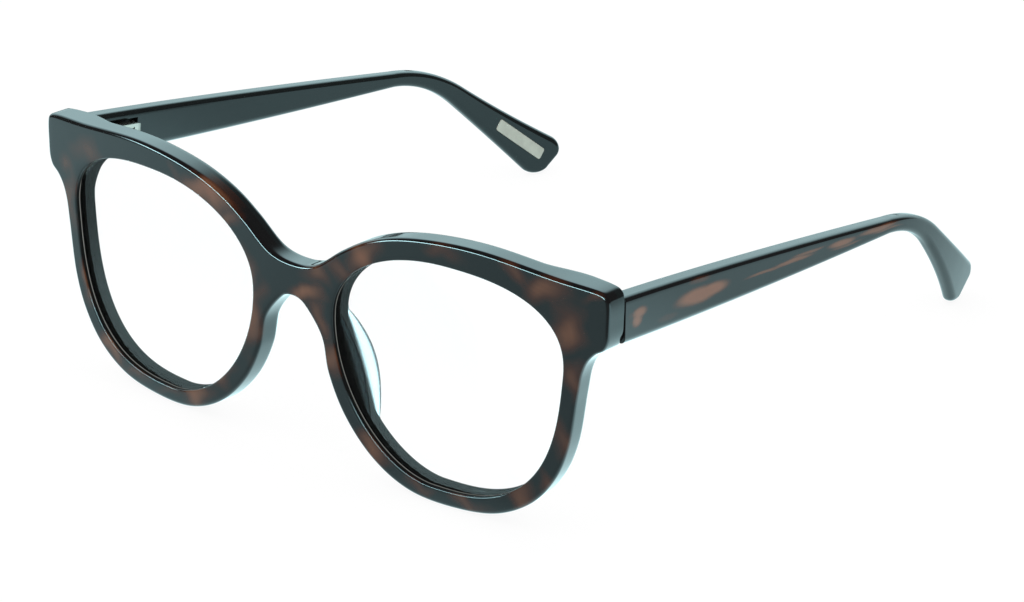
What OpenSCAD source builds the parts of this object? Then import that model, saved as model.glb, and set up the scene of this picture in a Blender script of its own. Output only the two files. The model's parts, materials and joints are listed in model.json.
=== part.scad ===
// Folding reading glasses: a laminated acetate front and temples, clear lenses and flex hinges.
// The front has its own frame: x across, y back from the bridge's front face and z up,
// with its origin on the lenses' widest line.
// Each temple has a frame at its hinge axis: x outwards, y along the temple, z along the hinge screw.
// The whole is then stood on its rims and temple tips, with the origin under the middle of its box.

/* [Lens openings] */
// Width of a lens opening
lens_w = 50.5; // [47:0.5:54]
// Distance between the two lens openings
lens_gap = 20; // [18:0.5:23]
// Height of an opening above its widest line
lens_top_h = 15; // [13:0.5:17]
// Height of an opening below its widest line
lens_low_h = 27.5; // [24:0.5:30]
// Sideways lean of an opening for each mm of height
lens_lean = 0.09; // [0:0.01:0.14]
// Squareness of the upper outer corner, 2 is an ellipse
corner_top_out = 2.5; // [2:0.05:3]
// Squareness of the upper nasal corner
corner_top_in = 2.1; // [1.8:0.05:2.6]
// Squareness of the lower nasal corner
corner_low_in = 1.8; // [1.7:0.05:2.2]
// Squareness of the lower outer corner
corner_low_out = 2.8; // [2:0.05:3]

/* [Front] */
// Width of the front over the end pieces
front_w = 138.8; // [134:0.2:146]
// Thickness of the sheet
front_t = 4.6; // [4.2:0.1:5.4]
// Thickness of the end pieces at the joint faces, milled flat behind
end_t = 4.4; // [3.8:0.1:5.4]
// Radius that the front is bowed to
bow_r = 480; // [350:10:900]
// Width of the rim under the lens
rim_low_w = 3; // [2.8:0.1:4]
// Width of the rim at the outer side
rim_side_w = 3.5; // [3.2:0.1:4.2]
// Width of the rim beside the nose
rim_nose_w = 3.6; // [3.2:0.1:4.4]
// Width of the brow above the lens
brow_w = 4.2; // [3.8:0.1:5.2]
// Height of the bridge's top edge above the widest line
bridge_top_z = 6.7; // [6:0.1:9]
// Height of the arch over the nose above the widest line
bridge_low_z = 0.2; // [-1:0.1:1.5]
// Radius of the outer edge on the front face
front_edge_r = 0.8; // [0.6:0.1:1.4]
// Radius of the outer edge on the back face
back_edge_r = 0.8; // [0.4:0.1:1]
// Chamfer round the lens openings
lip_w = 0.3; // [0.2:0.05:0.5]
// Depth of the lens groove
groove_d = 0.9; // [0.7:0.05:1.2]
// Width of the lens groove
groove_w = 1.8; // [1.4:0.1:2.2]
// Depth of the groove's bottom behind the front face
groove_y = 1.9; // [1.7:0.1:2.2]

/* [Lenses and pads] */
// Gap between a lens bevel and its groove
lens_fit = 0.1; // [0.06:0.01:0.15]
// Rise of the lens's front surface at its middle
lens_dome = 1.3; // [0.6:0.1:1.6]
// Extra thickness of the lens at its middle
lens_add = 0.4; // [0.2:0.1:1]
// Height of a nose pad behind the rim
pad_h = 3.8; // [2.8:0.1:4.5]
// Width of a nose pad at its foot
pad_w = 2.6; // [2:0.1:2.8]
// Lean of a nose pad towards its lens
pad_lean = 0.75; // [0.4:0.05:0.9]

/* [Hinges] */
// Distance of the hinge's middle below the end piece's middle
hinge_low = 0.5; // [0.2:0.1:0.8]
// Distance of the hinge axis behind the front's joint face
hinge_back = 1.9; // [1.8:0.05:2.4]
// Radius of the hinge knuckles
knuckle_r = 1.6; // [1.5:0.05:1.7]
// Height of the slider's eye
eye_h = 1.6; // [1.3:0.1:1.9]
// Height of each front knuckle
knuckle_h = 1.5; // [1.2:0.1:1.7]
// Radius of the hinge screw
screw_r = 0.7; // [0.6:0.05:0.8]
// Running gap at the screw, between knuckles and round the pull rod
run_gap = 0.05; // [0.03:0.01:0.08]
// Length of the flex housing
housing_l = 10; // [9.5:0.5:12]
// Width of the flex housing, from its floor to its crown
housing_w = 3.2; // [3:0.1:3.4]
// Height of the flex housing
housing_h = 3.4; // [3.2:0.1:3.8]
// Radius of the spring chamber in the housing
chamber_r = 1.2; // [1.1:0.05:1.25]
// Radius of the pull rod
rod_r = 0.5; // [0.4:0.05:0.55]
// Radius of the spring wire
wire_r = 0.16; // [0.12:0.01:0.18]
// Turns of the flex spring
spring_turns = 7; // [5:1:8]

/* [Temples] */
// Downward angle of the temples from the front's normal
temple_drop = 5.7; // [4:0.1:7]
// Inward angle of the temples at the hinge
toe_in = 3.1; // [2:0.1:4.5]
// Thickness at the hinge
temple_t = 3.9; // [3.6:0.1:4.6]
// Thickness at the tip
tip_t = 3; // [2.6:0.1:3.4]
// Height at the hinge
root_h = 8.6; // [8.4:0.1:9]
// Distance of the root's middle below the hinge's middle
root_low = 0.4; // [0.2:0.1:0.6]
// Height at the bend
bend_h = 3.1; // [2.8:0.1:4]
// Height of the paddle at its end
tip_h = 10.5; // [9:0.5:12]
// Length from the hinge axis to the bend
straight_l = 84; // [76:0.5:92]
// Radius of the bend
bend_r = 34; // [28:1:44]
// Angle of the bend
bend_angle = 34; // [30:0.5:40]
// Length of the paddle beyond the bend
paddle_l = 29.5; // [24:0.5:33]
// Inward curve of the tip
tip_in = 7; // [5:0.5:8]
// Slant of the paddle's end, as a share of its height
tip_slant = 0.25; // [0:0.05:0.4]
// Corner radius of the paddle's end
tip_corner_r = 3; // [2:0.25:4]
// Edge radius along the temple
temple_edge_r = 1.1; // [0.6:0.1:1.3]
// Gap between temple and front when open
butt_gap = 0.15; // [0.15:0.05:0.4]
// Radius of the core wire
core_r = 0.6; // [0.5:0.05:0.7]
// Length of the bare plate on one tip
plate_l = 14; // [8:0.5:16]
// Width of the bare plate
plate_w = 2.6; // [2:0.1:3.2]
// Thickness of the bare plate
plate_t = 0.5; // [0.4:0.05:0.8]

/* [Hidden] */
// Fixed gap between pieces that are let into each other
seat_gap = 0.05;
// Longest step along the outline
outline_step = 4;
// Spokes across the bridge, between its top and its arch
bridge_steps = 4;
// Share of a rim's width where its back face bends
rim_mid = 0.42;
lens_x = lens_gap / 2 + lens_w / 2;
side_x = front_w / 2;
// The front's back face turns flat towards the joint face between these distances from the middle
flat_from = side_x - 16;
flat_to = side_x - 6.4;
// Middle of the end piece, level with the lens's upper outer corner
end_z = lens_top_h - 2.6;
hinge_z = end_z - hinge_low;
joint_y = sag(side_x) + end_t;
// Inner face of the temple, outwards of the hinge axis
inner_x = 0.4;
hinge_x = side_x - inner_x - temple_t;
hinge_y = joint_y + hinge_back;
hinge_half = eye_h / 2 + run_gap + knuckle_h;
// Hinge plate and its two anchors, let into the end piece
hinge_plate_t = 1.2;
hinge_plate_in = 3.6;
anchor_r = 0.6;
anchor_l = 2;
head_r = 1.1;
head_h = 0.4;
// The housing starts clear of the turning knuckles
housing_y0 = knuckle_r + 1.4;
housing_y1 = housing_y0 + housing_l;
pocket_floor = max(housing_w / 2, knuckle_r) + 0.6;
stop_y0 = housing_y0 + 0.4;
stop_y1 = stop_y0 + 1;
chamber_y1 = housing_y1 - 1.2;
rod_head_l = 0.8;
rod_head_r = chamber_r - 0.25;
rod_head_y0 = chamber_y1 - rod_head_l - 0.4;
spring_r = (rod_r + chamber_r) / 2;
spring_y0 = stop_y1 + wire_r + seat_gap;
spring_y1 = rod_head_y0 - wire_r - seat_gap;
// The core wire runs back from the housing's end
core_x = housing_w / 2 + core_r / 2;
core_y1 = straight_l - 6;
bend_l = bend_r * bend_angle * PI / 180;
temple_l = straight_l + bend_l + paddle_l;
plate_s = temple_l - plate_l / 2 - tip_corner_r;

// Small helpers
function mix(a, b, k) = a + (b - a) * k;
function ease(k) = let(c = max(0, min(1, k))) c * c * (3 - 2 * c);
function unit(v) = v / norm(v);
function power(v, e) = sign(v) * pow(abs(v), e);

// Outline of a lens opening: four superellipse quarters, leaned outwards
function corner(c, s) = s >= 0 ? (c >= 0 ? corner_top_out : corner_top_in)
                               : (c >= 0 ? corner_low_out : corner_low_in);
function lens_edge(t) =
    let(e = 2 / corner(cos(t), sin(t)))
    let(z = (sin(t) >= 0 ? lens_top_h : lens_low_h) * power(sin(t), e))
    [lens_x + lens_lean * z + lens_w / 2 * power(cos(t), e), z];
function lens_normal(t) =
    let(d = unit(lens_edge(t + 2) - lens_edge(t - 2)))
    [d[1], -d[0]];

// Outline of the front's half: rim widths set off from the lens, the end piece, the brow and the bridge
function rim_w(t) =
    let(side = t < 270 ? rim_nose_w : rim_side_w)
    rim_low_w + (side - rim_low_w) * abs(sin(2 * t));
function offset_edge(t, w) = lens_edge(t) + lens_normal(t) * w;
arch_keys = [for (k = [[0, 0], [1.8, 0.3], [3.4, 1.4]]) [k[0], bridge_low_z - k[1]]];
rim_keys = [for (t = [193, 206, 222, 240, 258, 276, 294, 312, 328, 342]) offset_edge(t, rim_w(t))];
end_keys = [
    for (k = [[6, -15], [5.2, -10.5], [4.1, -7.9], [2.7, -6.3], [1.1, -5.2], [0.25, -3.4],
              [0, 0], [0, 3.4], [0.25, 4.5], [1, 5.2], [2.2, 5.5], [10, 6]])
        [side_x - k[0], end_z + k[1]]
];
brow_keys = [
    for (k = [[80, 0.6], [98, 0], [116, -0.1], [132, 0], [146, 0.3]])
        offset_edge(k[0], brow_w + k[1])
];
bridge_keys = [[5.4, bridge_top_z + 0.9], [0, bridge_top_z]];
outline_keys = concat(arch_keys, rim_keys, end_keys, brow_keys, bridge_keys);

// A smooth curve through the outline's points, with tangents weighted by the root of the spacing
function flip(q) = [-q[0], q[1]];
outline_ends = concat([flip(outline_keys[1])], outline_keys, [flip(outline_keys[len(outline_keys) - 2])]);
function span(a, b) = sqrt(norm(b - a));
function tangent(a, b, c, scale) =
    let(d = span(a, b), e = span(b, c))
    scale * ((b - a) / d - (c - a) / (d + e) + (c - b) / e);
function curve_at(i, u) =
    let(a = outline_ends[i - 1], b = outline_ends[i], c = outline_ends[i + 1], d = outline_ends[i + 2])
    let(m = tangent(a, b, c, span(b, c)), n = tangent(b, c, d, span(b, c)))
    (2 * u ^ 3 - 3 * u ^ 2 + 1) * b + (u ^ 3 - 2 * u ^ 2 + u) * m
        + (3 * u ^ 2 - 2 * u ^ 3) * c + (u ^ 3 - u ^ 2) * n;
function span_steps(i) = ceil(norm(outline_ends[i + 1] - outline_ends[i]) / outline_step);
outline = concat(
    [for (i = [1:len(outline_keys) - 1], k = [0:span_steps(i) - 1]) curve_at(i, k / span_steps(i))],
    [outline_keys[len(outline_keys) - 1]]
);
outline_n = len(outline);
function outline_normal(j) =
    j == 0 ? [0, -1]
    : j == outline_n - 1 ? [0, 1]
    : let(d = unit(outline[j + 1] - outline[j - 1])) [d[1], -d[0]];

// Spokes run from the lens edge to the outline, and on across the bridge's middle
spoke_n = outline_n + bridge_steps;
function bridge_share(j) = (j - outline_n + 1) / (bridge_steps + 1);
function bridge_z(j, r) = mix(bridge_top_z - r, bridge_low_z + r, bridge_share(j));
function spoke_end(j) = j < outline_n ? outline[j] : [0, bridge_z(j, 0)];
function spoke_angle(j) = let(q = spoke_end(j)) (atan2(q[1], q[0] - lens_x) + 360) % 360;
function on_bridge(j) = j == 0 || j >= outline_n - 1;

// The sheet is bowed: a depth behind its front face is laid off square to the bow
function sag(x) = x ^ 2 / (2 * bow_r);
// Towards the joint face the end piece's back turns flat and square
function squared(q) = ease((q[0] - flat_from) / (flat_to - flat_from)) * ease((q[1] - end_z + 9) / 4);
function bowed(q, depth) = [q[0] * (1 - depth / bow_r * (1 - squared(q))), sag(q[0]) + depth, q[1]];
function back_depth(q) = mix(front_t, joint_y - sag(q[0]), squared(q));
// The back edge is sharper where the temple butts against the end piece
function back_r(j) = mix(back_edge_r, 0.25, squared(spoke_end(j)));

// One section of the rim, from the lens groove round the front face, the outer edge and the back face
edge_front = [0, 30, 60, 90];
edge_back = [90, 45, 0];
ring_first = 2;
ring_last = ring_first + len(edge_front) + len(edge_back) - 1;
function front_ring(j) =
    let(t = spoke_angle(j), i = lens_edge(t), n = lens_normal(t), o = spoke_end(j))
    let(bar = j >= outline_n, m = bar ? [0, 0] : outline_normal(j), rf = front_edge_r, rb = back_r(j))
    let(f = bar ? [0, bridge_z(j, rf)] : o, b = bar ? [0, bridge_z(j, back_edge_r)] : o)
    let(bm = mix(i, b - m * rb, rim_mid))
    concat(
        [bowed(i, lip_w), bowed(i + n * lip_w, 0)],
        [for (a = edge_front) bowed(f - m * rf * (1 - sin(a)), bar ? 0 : rf * (1 - cos(a)))],
        [for (a = edge_back) bowed(b - m * rb * (1 - sin(a)), back_depth(b) - (bar ? 0 : rb * (1 - cos(a))))],
        [bowed(bm, back_depth(bm)), bowed(i + n * lip_w, back_depth(i)), bowed(i, back_depth(i) - lip_w)],
        [
            bowed(i, groove_y + groove_w / 2),
            bowed(i + n * groove_d, groove_y),
            bowed(i, groove_y - groove_w / 2)
        ]
    );
front_rings = [for (j = [0:spoke_n - 1]) front_ring(j)];
ring_n = len(front_rings[0]);
half_n = spoke_n * ring_n;
function on_seam(j, k) = on_bridge(j) && k >= ring_first && k <= ring_last;
function half_index(j, k) = (j % spoke_n) * ring_n + k % ring_n;
function other_index(j, k) = half_index(j, k) + (on_seam(j % spoke_n, k % ring_n) ? 0 : half_n);
function open_quad(j, k) =
    !(on_bridge(j) && on_bridge((j + 1) % spoke_n) && k >= ring_first && k < ring_last);
front_points = concat(
    [for (r = front_rings) each r],
    [for (r = front_rings) for (p = r) [-p[0], p[1], p[2]]]
);
front_faces = [
    for (j = [0:spoke_n - 1], k = [0:ring_n - 1]) if (open_quad(j, k))
        each [
            [half_index(j, k), half_index(j + 1, k + 1), half_index(j, k + 1)],
            [half_index(j, k), half_index(j + 1, k), half_index(j + 1, k + 1)],
            [other_index(j, k), other_index(j, k + 1), other_index(j + 1, k + 1)],
            [other_index(j, k), other_index(j + 1, k + 1), other_index(j + 1, k)]
        ]
];

// Rings of equal length joined into a closed solid, with flat ends
function loft_faces(rings, n) = concat(
    [
        for (i = [0:rings - 2], k = [0:n - 1])
            each [
                [i * n + k, i * n + (k + 1) % n, (i + 1) * n + (k + 1) % n],
                [i * n + k, (i + 1) * n + (k + 1) % n, (i + 1) * n + k]
            ]
    ],
    [[for (k = [n - 1:-1:0]) k]],
    [[for (k = [0:n - 1]) (rings - 1) * n + k]]
);
module loft(rings) {
    polyhedron([for (r = rings) each r], loft_faces(len(rings), len(rings[0])), convexity = 8);
}

// A temple's middle line, height and thickness at a length s from the hinge axis
function bend_at(s) = max(0, min(bend_angle, (s - straight_l) / bend_r * 180 / PI));
function line_y(s) =
    s <= straight_l ? s
    : s <= straight_l + bend_l ? straight_l + bend_r * sin(bend_at(s))
    : straight_l + bend_r * sin(bend_angle) + (s - straight_l - bend_l) * cos(bend_angle);
function line_z(s) =
    s <= straight_l ? -root_low * (1 - s / straight_l)
    : s <= straight_l + bend_l ? -bend_r * (1 - cos(bend_at(s)))
    : -bend_r * (1 - cos(bend_angle)) - (s - straight_l - bend_l) * sin(bend_angle);
function reach(s) = max(0, (s - straight_l) / (temple_l - straight_l));
function line_x(s) = inner_x + temple_t / 2 - tip_in * reach(s) ^ 2;
function height_at(s) =
    s < straight_l ? mix(root_h, bend_h, max(0, s / straight_l) ^ 1.5)
    : mix(bend_h, tip_h, reach(s) ^ 1.9);
function thick_at(s) = mix(temple_t, tip_t, max(0, s / temple_l));
function rounded_off(s, r) =
    s < temple_l - r ? 0 : r - sqrt(max(0, r ^ 2 - (s - temple_l + r) ^ 2));
function temple_ring(s) =
    let(a = thick_at(s) / 2 - rounded_off(s, tip_t / 3), b = height_at(s) / 2 - rounded_off(s, tip_corner_r))
    let(r = min(temple_edge_r, a - 0.1), turn = bend_at(s))
    let(along = [-2 * tip_in * reach(s) / (temple_l - straight_l), cos(turn), -sin(turn)])
    let(up = [0, sin(turn), cos(turn)] + along * tip_slant * reach(s) ^ 1.5)
    [
        for (q = [0:3], w = [0, 30, 60, 90])
            let(v = q * 90 + w, cx = (q == 0 || q == 3) ? a - r : r - a, cz = q < 2 ? b - r : r - b)
            [line_x(s), line_y(s), line_z(s)] + [cx + r * cos(v), 0, 0] + up * (cz + r * sin(v))
    ];
// The root is cut to lie along the front's joint face
function butt_y(p) =
    let(across = (butt_gap - hinge_back - p[0] * sin(toe_in)) / cos(toe_in))
    (across - p[2] * sin(temple_drop)) / cos(temple_drop);
temple_stations = concat(
    [for (k = [0.25, 1, 2, 3, 4, 5, 6, 7, 8]) straight_l * k / 9],
    [for (k = [0:8]) straight_l + bend_l * k / 8],
    [for (k = [1:5]) mix(straight_l + bend_l, temple_l - tip_corner_r, k / 5)],
    [for (a = [25, 50, 75, 90]) temple_l - tip_corner_r * (1 - sin(a))]
);
temple_rings = concat(
    [[for (p = temple_ring(0)) [p[0], butt_y(p), p[2]]]],
    [for (s = temple_stations) temple_ring(s)]
);

// From a temple's frame to the front's frame, and the stand on rims and tips
function dropped(p) = tilted(p, -temple_drop);
function toed(p) = [p[0] * cos(toe_in) - p[1] * sin(toe_in), p[0] * sin(toe_in) + p[1] * cos(toe_in), p[2]];
function from_arm(p) = [hinge_x, hinge_y, hinge_z] + toed(dropped(p));
temple_points = [for (r = temple_rings, p = r) from_arm(p)];
function tilted(p, a) = [p[0], p[1] * cos(a) - p[2] * sin(a), p[1] * sin(a) + p[2] * cos(a)];
function lowest(points, a) = min([for (p = points) tilted(p, a)[2]]);
// The tilt is found by closing the height difference between rims and tips, step by step
function level(a, steps) =
    steps == 0 ? a
    : level(a + atan2(lowest(front_points, a) - lowest(temple_points, a), hinge_y + temple_l), steps - 1);
stand_tilt = level(0, 8);
stand_y = -(min([for (p = front_points) tilted(p, stand_tilt)[1]])
    + max([for (p = temple_points) tilted(p, stand_tilt)[1]])) / 2;
stand_z = -min(lowest(front_points, stand_tilt), lowest(temple_points, stand_tilt));

module stand() {
    translate([0, stand_y, stand_z]) rotate([stand_tilt, 0, 0]) children();
}
module on_side(side) {
    stand() mirror([side < 0 ? 1 : 0, 0, 0]) children();
}
module to_arm() {
    translate([hinge_x, hinge_y, hinge_z]) rotate([0, 0, toe_in]) rotate([-temple_drop, 0, 0]) children();
}
module on_arm(side) {
    on_side(side) to_arm() children();
}
module along(y0, y1, r, n = 24) {
    translate([0, y0, 0]) rotate([-90, 0, 0]) cylinder(h = y1 - y0, r = r, $fn = n);
}
module box(low, high) {
    translate(low) cube(high - low);
}

// The front hinge's seat in the end piece: the plate's recess and two anchor holes
module hinge_seat(gap) {
    box([-hinge_plate_in - gap, -hinge_back - hinge_plate_t - gap, -hinge_half - gap],
        [knuckle_r + gap, -hinge_back / 2, hinge_half + gap]);
    hinge_anchors(gap);
}
module hinge_anchors(gap) {
    for (z = [-1, 1])
        translate([-1, 0, z * hinge_half / 2])
            along(-hinge_back - hinge_plate_t - anchor_l - gap, -hinge_back - seat_gap, anchor_r + gap);
}

module front() {
    color("#3a2a22") stand() difference() {
        polyhedron(front_points, front_faces, convexity = 12);
        for (side = [1, -1])
            mirror([side < 0 ? 1 : 0, 0, 0]) to_arm() hinge_seat(seat_gap);
    }
}

// A lens: its bevel lies in the groove, and both faces are domed
bevel_half = groove_w / 2 - lens_fit;
lens_spokes = [for (j = [0:spoke_n - 1]) spoke_angle(j)];
lens_rings = [0.45, 0.8];
function lens_point(t, k, depth, dome) =
    let(q = mix([lens_x, 0], lens_edge(t) - lens_normal(t) * lens_fit, k))
    bowed(q, groove_y + depth - dome * (1 - k ^ 2));
function lens_loop(k, depth, dome) = [for (t = lens_spokes) lens_point(t, k, depth, dome)];
function bevel_loop() = [
    for (t = lens_spokes)
        let(q = lens_edge(t) + lens_normal(t) * (groove_d - lens_fit))
        bowed(q, groove_y)
];
module lens(side) {
    middle = 0.02;
    back_dome = lens_dome - lens_add;
    rings = concat(
        [lens_loop(middle, -bevel_half, lens_dome)],
        [for (k = lens_rings) lens_loop(k, -bevel_half, lens_dome)],
        [lens_loop(1, -bevel_half, 0)],
        [bevel_loop()],
        [lens_loop(1, bevel_half, 0)],
        [for (k = [len(lens_rings) - 1:-1:0]) lens_loop(lens_rings[k], bevel_half, back_dome)],
        [lens_loop(middle, bevel_half, back_dome)]
    );
    color("#e8f4f4", 0.35) on_side(side) loft(rings);
}

// A nose pad: a row of leaning half ovals on the nasal rim's back face
pad_from = 182;
pad_to = 230;
pad_steps = 12;
function pad_ring(i) =
    let(u = i / pad_steps, t = mix(pad_from, pad_to, u), rise = max(0.12, sin(180 * u)) ^ 0.75)
    let(n = lens_normal(t), c = lens_edge(t) + n * rim_w(t) * 0.45)
    [
        for (a = [0:22.5:180])
            let(q = c - n * (pad_w / 2 * rise * cos(a) + pad_lean * pad_h * rise * sin(a)))
            bowed(q, back_depth(q) + seat_gap + pad_h * rise * sin(a))
    ];
module nose_pad(side) {
    color("#e6f2f4", 0.5) on_side(side) loft([for (i = [0:pad_steps]) pad_ring(i)]);
}

// The bare plate on one tip, square to the paddle's inner face
module at_plate() {
    lean = atan2(line_x(plate_s + 4) - line_x(plate_s - 4), 8);
    translate([line_x(plate_s), line_y(plate_s), line_z(plate_s)])
        rotate([-bend_angle, 0, 0]) rotate([0, 0, -lean])
            translate([-thick_at(plate_s) / 2, 0, 0]) children();
}
module plate_shape(gap) {
    corner = 0.5;
    translate([plate_t * 0.6 + gap, 0, 0]) rotate([0, -90, 0]) linear_extrude(plate_t + gap)
        for (z = [-1, 1], y = [-1, 1]) {
            translate([z * (plate_w / 2 - corner), y * (plate_l / 2 - corner)])
                circle(corner + gap, $fn = 24);
            square([plate_w + 2 * gap, plate_l - 2 * corner], center = true);
            square([plate_w - 2 * corner, plate_l + 2 * gap], center = true);
        }
}
module tip_plate() {
    color("#c9d2cb") on_arm(-1) at_plate() plate_shape(0);
}

module temple(side) {
    pocket_half = hinge_half + head_h + 0.25;
    clear_y = -hinge_back - hinge_plate_t - 2;
    color(side > 0 ? "#33261f" : "#2b2f30") on_arm(side) difference() {
        loft(temple_rings);
        box([-housing_w, clear_y, -pocket_half], [pocket_floor, housing_y0 + seat_gap, pocket_half]);
        box([-housing_w, 0, -housing_h / 2 - seat_gap],
            [housing_w / 2 + seat_gap, housing_y1 + seat_gap, housing_h / 2 + 0.5]);
        translate([core_x, 0, 0]) along(housing_y1 - 1, core_y1 + seat_gap, core_r + seat_gap);
        if (side < 0) at_plate() plate_shape(seat_gap);
    }
}

module core_wire(side) {
    color("#b9bfc2") on_arm(side) translate([core_x, 0, 0]) along(housing_y1 + seat_gap, core_y1, core_r);
}

module front_hinge(side) {
    color("#c4c9cb") on_arm(side) difference() {
        union() {
            box([-hinge_plate_in, -hinge_back - hinge_plate_t, -hinge_half],
                [knuckle_r, -hinge_back, hinge_half]);
            hinge_anchors(0);
            for (z = [-hinge_half, eye_h / 2 + run_gap]) {
                translate([0, 0, z]) cylinder(h = knuckle_h, r = knuckle_r, $fn = 36);
                box([-knuckle_r, -hinge_back - hinge_plate_t / 2, z], [knuckle_r, 0, z + knuckle_h]);
            }
        }
        translate([0, 0, -hinge_half - 1]) cylinder(h = 2 * hinge_half + 2, r = screw_r + run_gap, $fn = 32);
    }
}

module hinge_screw(side) {
    slot_w = 0.3;
    slot_d = 0.2;
    color("#d8dcdd") on_arm(side) difference() {
        union() {
            translate([0, 0, -hinge_half - 0.1]) cylinder(h = 2 * hinge_half + 0.2, r = screw_r, $fn = 32);
            translate([0, 0, hinge_half + seat_gap]) cylinder(h = head_h - seat_gap, r = head_r, $fn = 32);
        }
        box([-head_r - 1, -slot_w / 2, hinge_half + head_h - slot_d],
            [head_r + 1, slot_w / 2, hinge_half + head_h + 1]);
    }
}

module flex_slider(side) {
    shank_half = knuckle_r * 0.7;
    color("#bfc4c6") on_arm(side) {
        difference() {
            union() {
                translate([0, 0, -eye_h / 2]) cylinder(h = eye_h, r = knuckle_r, $fn = 36);
                box([-shank_half, 0, -eye_h / 2], [shank_half, housing_y0 - run_gap, eye_h / 2]);
            }
            translate([0, 0, -eye_h]) cylinder(h = 2 * eye_h, r = screw_r + run_gap, $fn = 32);
        }
        along(housing_y0 - 1, rod_head_y0 + rod_head_l / 2, rod_r);
        along(rod_head_y0, rod_head_y0 + rod_head_l, rod_head_r);
    }
}

// The housing: a box with a back end rounded on crown and corners and a small slot, bored for the spring
module flex_housing(side) {
    half = housing_w / 2;
    corner = 1.5;
    slot = [0.5, 1.6, 0.4];
    color("#ccd1d0") on_arm(side) difference() {
        intersection() {
            translate([0, 0, -housing_h / 2]) linear_extrude(housing_h) {
                translate([-half, housing_y0]) square([housing_w, housing_l - half]);
                translate([0, housing_y1 - half]) circle(half, $fn = 24);
                translate([0, housing_y0]) square([half, housing_l]);
            }
            rotate([0, -90, 0]) linear_extrude(2 * housing_w, center = true) hull() {
                translate([-housing_h / 2, housing_y0]) square([housing_h, 1]);
                for (z = [-1, 1])
                    translate([z * (housing_h / 2 - corner), housing_y1 - corner]) circle(corner, $fn = 16);
            }
        }
        along(housing_y0 - 1, chamber_y1, chamber_r, 32);
        translate([-half, housing_y1 - 2 * half, housing_h / 4]) cube(slot, center = true);
    }
}

module flex_stop(side) {
    color("#a9aeb0") on_arm(side) difference() {
        along(stop_y0, stop_y1, chamber_r - run_gap / 2, 32);
        along(stop_y0 - 1, stop_y1 + 1, rod_r + run_gap);
    }
}

// The flex spring: one wire wound round the pull rod
coil_sides = 6;
coil_rings = 8;
function coil_centre(i) =
    let(a = 360 * i / coil_rings)
    [spring_r * cos(a), mix(spring_y0, spring_y1, i / (coil_rings * spring_turns)), spring_r * sin(a)];
function coil_ring(i) =
    let(a = 360 * i / coil_rings, out = [cos(a), 0, sin(a)], up = [0, 1, 0])
    [for (k = [0:coil_sides - 1]) coil_centre(i) + wire_r * (out * cos(60 * k) - up * sin(60 * k))];
spring_gap = (spring_y1 - spring_y0) / spring_turns - 2 * wire_r;
module flex_spring(side) {
    color("#9aa0a3") on_arm(side) loft([for (i = [0:coil_rings * spring_turns]) coil_ring(i)]);
}

echo(spring_gap_mm = spring_gap, stand_tilt = stand_tilt, stand_y = stand_y, stand_z = stand_z);
echo(hinge = tilted([hinge_x, hinge_y, hinge_z], stand_tilt) + [0, stand_y, stand_z]);
echo(hinge_axis = tilted(from_arm([0, 0, 1]) - from_arm([0, 0, 0]), stand_tilt));
echo(slide_axis = tilted(from_arm([0, 1, 0]) - from_arm([0, 0, 0]), stand_tilt));

front();
lens(1);  // lens_left
lens(-1);  // lens_right
nose_pad(1);  // nose_pad_left
nose_pad(-1);  // nose_pad_right
temple(1);  // temple_left
temple(-1);  // temple_right
core_wire(1);  // core_wire_left
core_wire(-1);  // core_wire_right
front_hinge(1);  // front_hinge_left
front_hinge(-1);  // front_hinge_right
hinge_screw(1);  // hinge_screw_left
hinge_screw(-1);  // hinge_screw_right
flex_slider(1);  // flex_slider_left
flex_slider(-1);  // flex_slider_right
flex_housing(1);  // flex_housing_left
flex_housing(-1);  // flex_housing_right
flex_spring(1);  // flex_spring_left
flex_spring(-1);  // flex_spring_right
flex_stop(1);  // flex_stop_left
flex_stop(-1);  // flex_stop_right
tip_plate();
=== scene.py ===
"""Reading glasses: smooth acetate, lenses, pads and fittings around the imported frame."""

import json
import math

import bmesh
import bpy
import numpy as np
from bpy.props import FloatProperty, FloatVectorProperty, PointerProperty
from mathutils import Matrix


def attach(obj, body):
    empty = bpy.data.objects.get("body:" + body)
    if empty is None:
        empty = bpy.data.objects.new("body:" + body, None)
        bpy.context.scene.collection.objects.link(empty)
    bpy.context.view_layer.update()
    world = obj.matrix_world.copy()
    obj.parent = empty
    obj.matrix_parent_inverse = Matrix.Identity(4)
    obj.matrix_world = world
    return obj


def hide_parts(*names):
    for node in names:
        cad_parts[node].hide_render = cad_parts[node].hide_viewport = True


bl_info = {
    "name": "Reading Glasses",
    "version": (1, 0, 0),
    "blender": (4, 5, 0),
    "location": "View3D > Sidebar > Glasses",
    "description": "Builds acetate reading glasses with flex hinges round a fixed frame",
    "category": "Add Mesh",
}

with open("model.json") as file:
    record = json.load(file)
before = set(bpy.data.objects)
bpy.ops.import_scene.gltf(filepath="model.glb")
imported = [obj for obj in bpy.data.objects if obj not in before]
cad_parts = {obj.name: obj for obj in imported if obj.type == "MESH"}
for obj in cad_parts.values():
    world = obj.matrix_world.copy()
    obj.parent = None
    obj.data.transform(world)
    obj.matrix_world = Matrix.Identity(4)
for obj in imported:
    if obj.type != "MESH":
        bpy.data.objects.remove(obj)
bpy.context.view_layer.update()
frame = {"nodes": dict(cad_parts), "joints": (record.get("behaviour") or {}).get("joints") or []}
MM = 0.001
SIDES = {"left": 1, "right": -1}


def number(name, description, default, **more):
    """A plain number property."""
    return FloatProperty(name=name, description=description, default=default, **more)


def length(name, description, default):
    """A length property in metres, from a default in millimetres."""
    return number(name, description, default * MM, unit="LENGTH", precision=5)


def angle(name, description, default):
    """An angle property in radians, from a default in degrees."""
    return number(name, description, math.radians(default), subtype="ANGLE")


def colour(name, description, default):
    """A colour property, in linear values."""
    return FloatVectorProperty(name=name, description=description, default=default,
                               size=4, min=0, max=1, subtype="COLOR")


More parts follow.
